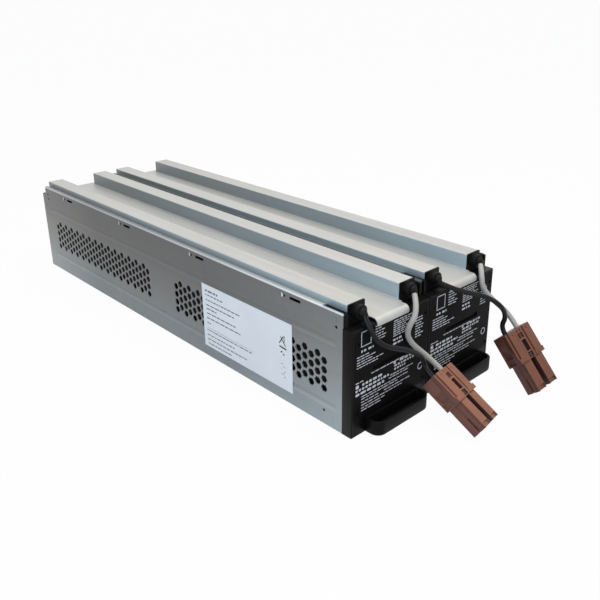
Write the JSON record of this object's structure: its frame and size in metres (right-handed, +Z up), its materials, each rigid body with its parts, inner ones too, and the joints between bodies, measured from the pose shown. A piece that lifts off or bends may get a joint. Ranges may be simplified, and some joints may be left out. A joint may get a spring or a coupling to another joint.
{
  "type": "ups battery",
  "caption": "UPS battery pack of two long steel cartridges side by side, each with a black front, pull handle and two leads to a brown plug.",
  "frame": {"origin": "centre of the standing footprint, on the surface it stands on", "axes": "+Z up; +Y towards the rear, so the handles and plugs face -Y; +X to the right seen from the front"},
  "size_m": [0.2011, 0.6548, 0.1185],
  "materials": {
    "zinc_steel": "satin",
    "black_plastic": "satin",
    "black_rubber": "matte",
    "dark_film": "satin",
    "block_plastic": "matte",
    "tinned_metal": "satin",
    "black_lead": "matte",
    "grey_lead": "matte",
    "brown_plastic": "satin",
    "plated_screw": "satin",
    "contact_metal": "satin",
    "white_label": "matte"
  },
  "bodies": {
    "root": {"left_battery_block_1": "block_plastic", "left_battery_block_2": "block_plastic", "left_battery_block_3": "block_plastic", "left_battery_block_4": "block_plastic", "left_battery_block_5": "block_plastic", "left_battery_block_6": "block_plastic", "left_battery_block_7": "block_plastic", "left_battery_block_8": "block_plastic", "left_black_lead": "black_lead", "left_block_links": "tinned_metal", "left_case_floor": "zinc_steel", "left_case_left_wall": "zinc_steel", "left_case_rear_panel": "zinc_steel", "left_case_right_wall": "zinc_steel", "left_case_rivets": "zinc_steel", "left_front_bezel": "black_plastic", "left_front_label": "dark_film", "left_grey_lead": "grey_lead", "left_inner_bushing": "black_rubber", "left_inner_end_cap": "black_plastic", "left_outer_bushing": "black_rubber", "left_outer_end_cap": "black_plastic", "left_plug_body": "brown_plastic", "left_plug_contacts": "contact_metal", "left_plug_cover": "brown_plastic", "left_plug_screws": "plated_screw", "left_pull_handle": "black_plastic", "left_top_cover": "zinc_steel", "right_battery_block_1": "block_plastic", "right_battery_block_2": "block_plastic", "right_battery_block_3": "block_plastic", "right_battery_block_4": "block_plastic", "right_battery_block_5": "block_plastic", "right_battery_block_6": "block_plastic", "right_battery_block_7": "block_plastic", "right_battery_block_8": "block_plastic", "right_black_lead": "black_lead", "right_block_links": "tinned_metal", "right_case_floor": "zinc_steel", "right_case_left_wall": "zinc_steel", "right_case_rear_panel": "zinc_steel", "right_case_right_wall": "zinc_steel", "right_case_rivets": "zinc_steel", "right_front_bezel": "black_plastic", "right_front_label": "dark_film", "right_grey_lead": "grey_lead", "right_inner_bushing": "black_rubber", "right_inner_end_cap": "black_plastic", "right_outer_bushing": "black_rubber", "right_outer_end_cap": "black_plastic", "right_plug_body": "brown_plastic", "right_plug_contacts": "contact_metal", "right_plug_cover": "brown_plastic", "right_plug_screws": "plated_screw", "right_pull_handle": "black_plastic", "right_top_cover": "zinc_steel", "side_label": "white_label"}
  },
  "joints": []
}
